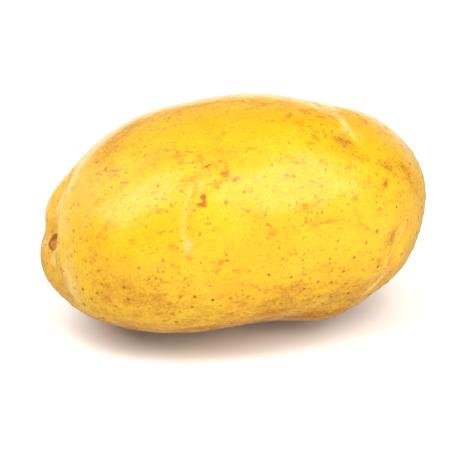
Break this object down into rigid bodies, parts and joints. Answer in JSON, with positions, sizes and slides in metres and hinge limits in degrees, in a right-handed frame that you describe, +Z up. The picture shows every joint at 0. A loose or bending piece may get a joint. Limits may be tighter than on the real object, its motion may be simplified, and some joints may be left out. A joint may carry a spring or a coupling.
{
  "type": "potato",
  "caption": "Whole washed yellow potato, an elongated oval tuber with shallow eyes and a stem scar, lying on a small flat spot on its underside.",
  "frame": {"origin": "on the surface that the potato lies on, straight below the middle of its box", "axes": "+X runs along the tuber from its stem end to its bud end, +Y points away from the side that is seen first, +Z is up"},
  "size_m": [0.1074, 0.071, 0.0596],
  "materials": {
    "potato_skin": "smooth thin skin with a soft sheen, small brown lenticels and light russet scuffs"
  },
  "bodies": {
    "root": {"potato": "potato_skin"}
  },
  "joints": []
}
